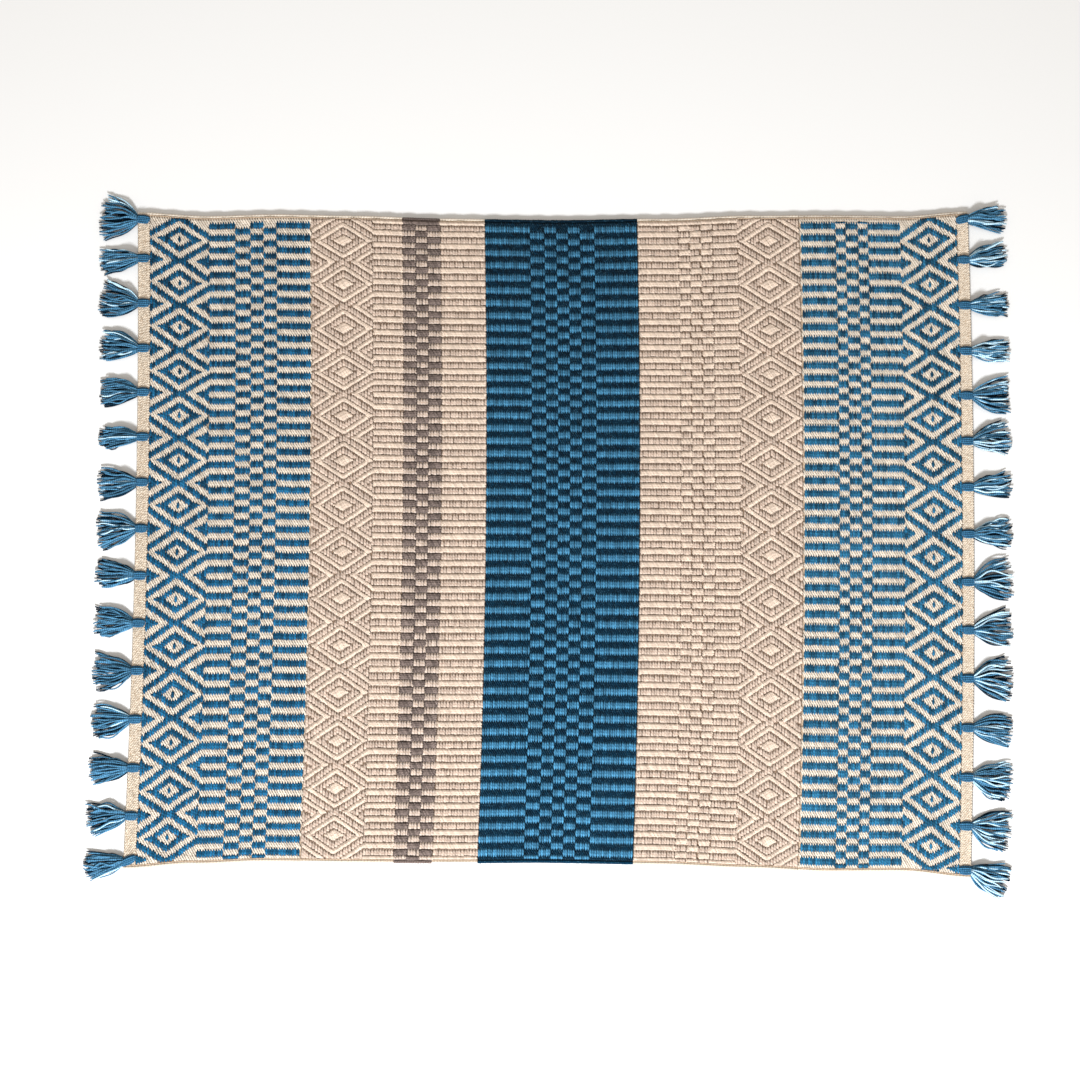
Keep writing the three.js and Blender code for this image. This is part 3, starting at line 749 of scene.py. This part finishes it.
def layTassel(pair, end):
    look = tasselLook
    row = slitRows[pair]
    edgeX = end * clothPlan["halfLength"]
    slitX = edgeX - end * look["slitInset"]
    atEdge = np.array(clothPoint(np.array(edgeX), rowAcross(row + 0.5))) + planShift
    origin = np.array([atEdge[0], weavePoint(slitX, row + 0.5)[1]])
    turn, fan = tassels[pair][:2] if end < 0 else tassels[pair][2:]
    turn = math.radians(turn)
    heap = yarnHeap()

    n = look["strands"]  # the skirt: strands spread from the pinch and settle on the floor
    share = dice.permutation(np.linspace(-1, 1, n))
    layer = dice.permutation(np.linspace(0, 1, n))
    ragged = np.clip(dice.normal(look["shorter"], look["ragged"], n), look["shortest"], look["longest"])
    fanned = look["sideLength"] + (1 - look["sideLength"]) * np.sqrt(1 - share**2)
    length = look["skirt"] * fanned * (1 + ragged)
    t = np.linspace(0, 1, look["stations"])
    reach = length[:, None] * t[None]
    wideEnd = look["skirt"] * math.tan(math.radians(fan)) + look["fanEnd"]
    opened = (1 - np.exp(-reach / look["opens"])) / (1 - math.exp(-look["skirt"] / look["opens"]))
    isTop = layer > look["topFrom"]
    lock = np.round(share * look["locks"] + dice.uniform(-0.5, 0.5)) / look["locks"]
    pull = np.where(isTop, look["lockPull"], 0.0)[:, None]  # upper strands hang together in locks
    pull = pull * np.sin(np.clip(look["lockOver"] * t, 0, 1) * math.pi)[None]
    place = share[:, None] * (1 - pull) + lock[:, None] * pull
    spread = place * (look["pinch"] + (wideEnd - look["pinch"]) * opened)
    settle = np.clip(reach / look["settleOver"], 0, 1)
    bend = dice.normal(0, look["bend"], n)[:, None] * t[None] ** 2
    turns = 2 * math.pi / dice.uniform(look["waveFrom"], look["waveTo"], n)
    wave = reach * turns[:, None] + dice.uniform(0, look["phases"], n)[:, None]
    curl = dice.normal(0, look["curl"], n)[:, None] * np.sin(wave) * settle
    off = spread + bend + curl
    crown = np.sqrt(1 - look["crown"] * share**2)  # the skirt is rounded across and arched along
    rise = look["archRise"] * np.sin(np.clip(reach / look["archOver"], 0, 1) * math.pi)
    sink = look["sink"] * np.clip((reach - look["sinkFrom"]) / look["sinkOver"], 0, look["sinkMost"])
    arch = look["archBase"] + rise - sink
    lift = look["lowest"] + look["height"] * (layer * crown)[:, None] * arch * look["heightShare"]
    lift += dice.normal(0, look["lifts"], n)[:, None] * np.cos(wave) * settle
    path = np.empty((n, len(t), 3))
    path[..., 0] = reach * math.cos(turn) - off * math.sin(turn)
    path[..., 1] = reach * math.sin(turn) + off * math.cos(turn)
    thick = look["strandRadius"] * (1 + dice.normal(0, look["radii"], n))[:, None]
    thick = thick * np.where(t > look["tipFrom"], look["tipThin"], 1)[None]
    path[..., 2] = np.maximum(lift, thick + look["floorGap"])
    # lower strands take the darker painted-shade yarn; some upper strands, more at the right end, take the
    # painted highlight yarn
    kind = np.where(~isTop, 1, np.where(dice.random(n) < look["highlightShare"][end], 2, 0))
    for k in (0, 1, 2):
        tubes(heap, path[kind == k], thick[kind == k], look["sides"], k)

    n = look["neckYarns"]  # the neck: yarns side by side over the header, drawn in at the pinch
    spot = np.linspace(-1, 1, n)
    t = np.linspace(0, 1, look["neckStations"])
    swell = np.sin(np.clip(look["swellFrom"] + look["swellOver"] * t, 0, 1) * math.pi) ** 0.5
    neck = np.empty((n, len(t), 3))
    neckStart = look["neckFrom"] + look["neckRound"] * spot**2
    neck[..., 0] = neckStart[:, None] + t[None] * (look["pinchAt"] - neckStart)[:, None]
    drawn = look["neckDrawn"] + (1 - look["neckDrawn"]) * swell
    neck[..., 1] = spot[:, None] * (look["neckHalf"] - look["neckRadius"]) * drawn[None]
    arch = np.sqrt(1 - look["neckCrown"] * spot**2)[:, None]
    neck[..., 2] = look["neckBase"] + look["neckRise"] * arch * swell[None]
    leant = math.tan(math.radians(cornerNecks.get((pair, end), 0)))
    neck[..., 1] += leant * (neck[..., 0] + look["neckPivot"])
    drawn = look["yarnDrawn"] + (1 - look["yarnDrawn"]) * swell
    # the neck's yarns take the darker painted-shade copy of the tassel yarn
    tubes(heap, neck, look["neckRadius"] * drawn[None], look["sides"] + 1, 3)

    past = look["wrapPast"]
    around = np.linspace(-past, math.pi + past, look["wrapStations"])  # one turn binds the neck at the edge
    wrap = np.empty((1, len(around), 3))
    wrap[..., 0] = look["wrapAt"] + look["wrapLean"] * np.cos(around)
    wrap[..., 1] = look["wrapHalf"] * np.cos(around)
    wrap[..., 2] = look["wrapBase"] + look["wrapRise"] * np.sin(around)
    tubes(heap, wrap, look["wrapRadius"], look["sides"], 3)

    for i, points in enumerate(heap["points"]):
        placed = points.copy()
        placed[:, 0] = origin[0] + end * points[:, 0]
        placed[:, 1] = origin[1] + points[:, 1]
        heap["points"][i] = placed
    if end < 0:  # mirrored, so the faces turn round
        heap["faces"] = [faces[:, ::-1] for faces in heap["faces"]]
    side = "left" if end < 0 else "right"
    node = f"tassel_{side}_{pair + 1:02d}"
    dyed = [cotton[name] for name in ("tassel", "tasselUnderShade", "tasselHighlight", "neck")]
    piece = heapObject(f"{node}_yarns", heap, dyed)
    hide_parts(node)
    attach(piece, "root")
    return piece


tasselPieces = [layTassel(pair, end) for end in (-1, 1) for pair in range(len(tassels))]


# what rides on what
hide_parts("rug_cloth")
for piece in [underCloth, selvedgeCords, *weaves]:
    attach(piece, "root")


# floor, light and camera
studio = {
    "floor": 3.0, "floorColour": (0.74, 0.74, 0.75, 1), "floorRoughness": 0.9, "floorDrop": 0.0002,
    "fill": 0.68, "fillColour": (1.0, 0.94, 0.85, 1),
    "key": 66.0, "keyColour": (0.95, 0.98, 1.0), "keyAt": (-0.12, -1.5, 1.25), "keySize": 0.35,
}


def laidFloor():
    half = studio["floor"]
    mesh = bpy.data.meshes.new("floor")
    corners = [(-half, -half), (half, -half), (half, half), (-half, half)]
    mesh.from_pydata([(x, y, -studio["floorDrop"]) for x, y in corners], [], [(0, 1, 2, 3)])
    floor = bpy.data.objects.new("floor", mesh)
    bpy.context.collection.objects.link(floor)
    material = bpy.data.materials.new("white_floor")
    material.use_nodes = True
    shader = material.node_tree.nodes["Principled BSDF"]
    shader.inputs["Base Color"].default_value = studio["floorColour"]
    shader.inputs["Roughness"].default_value = studio["floorRoughness"]
    mesh.materials.append(material)


def lights():
    world = bpy.data.worlds.new("studio")
    world.use_nodes = True
    background = world.node_tree.nodes["Background"]
    background.inputs["Color"].default_value = studio["fillColour"]
    background.inputs["Strength"].default_value = studio["fill"]
    bpy.context.scene.world = world
    lamp = bpy.data.lights.new("key", "AREA")
    lamp.energy = studio["key"]
    lamp.color = studio["keyColour"]
    lamp.size = studio["keySize"]
    key = bpy.data.objects.new("key", lamp)
    key.location = studio["keyAt"]
    aim = -np.array(studio["keyAt"])
    lean = math.atan2(math.hypot(aim[0], aim[1]), -aim[2])
    key.rotation_euler = (lean, 0, math.atan2(aim[1], aim[0]) - math.pi / 2)
    bpy.context.collection.objects.link(key)
    bpy.context.scene.view_settings.view_transform = "Standard"


shot = {  # lens and distances in mm, angles in radians
    "sensor": 36, "focal": 1990 / 1080 * 36, "tilt": 0.11519, "roll": 0.00962,
    "target": (-9.26, -4.59, 0), "distance": 1873,
}


def photoCamera():
    tilt, roll = shot["tilt"], shot["roll"]
    c, s = math.cos(tilt), math.sin(tilt)
    level = np.array([(1, 0, 0), (0, c, s), (0, -s, c)])
    c, s = math.cos(roll), math.sin(roll)
    rolled = np.array([(c, s, 0), (-s, c, 0), (0, 0, 1)]) @ level
    target = np.array(shot["target"]) + np.array([*planShift, 0])
    spot = (target + level[2] * shot["distance"]) * mm
    camera = bpy.data.objects.new("camera", bpy.data.cameras.new("camera"))
    camera.data.lens = shot["focal"]
    camera.data.sensor_width = shot["sensor"]
    placed = np.eye(4)
    placed[:3, :3] = rolled.T
    placed[:3, 3] = spot
    camera.matrix_world = Matrix(placed.tolist())
    bpy.context.collection.objects.link(camera)
    bpy.context.scene.camera = camera


laidFloor()
lights()
photoCamera()
print("floor, light and camera set")
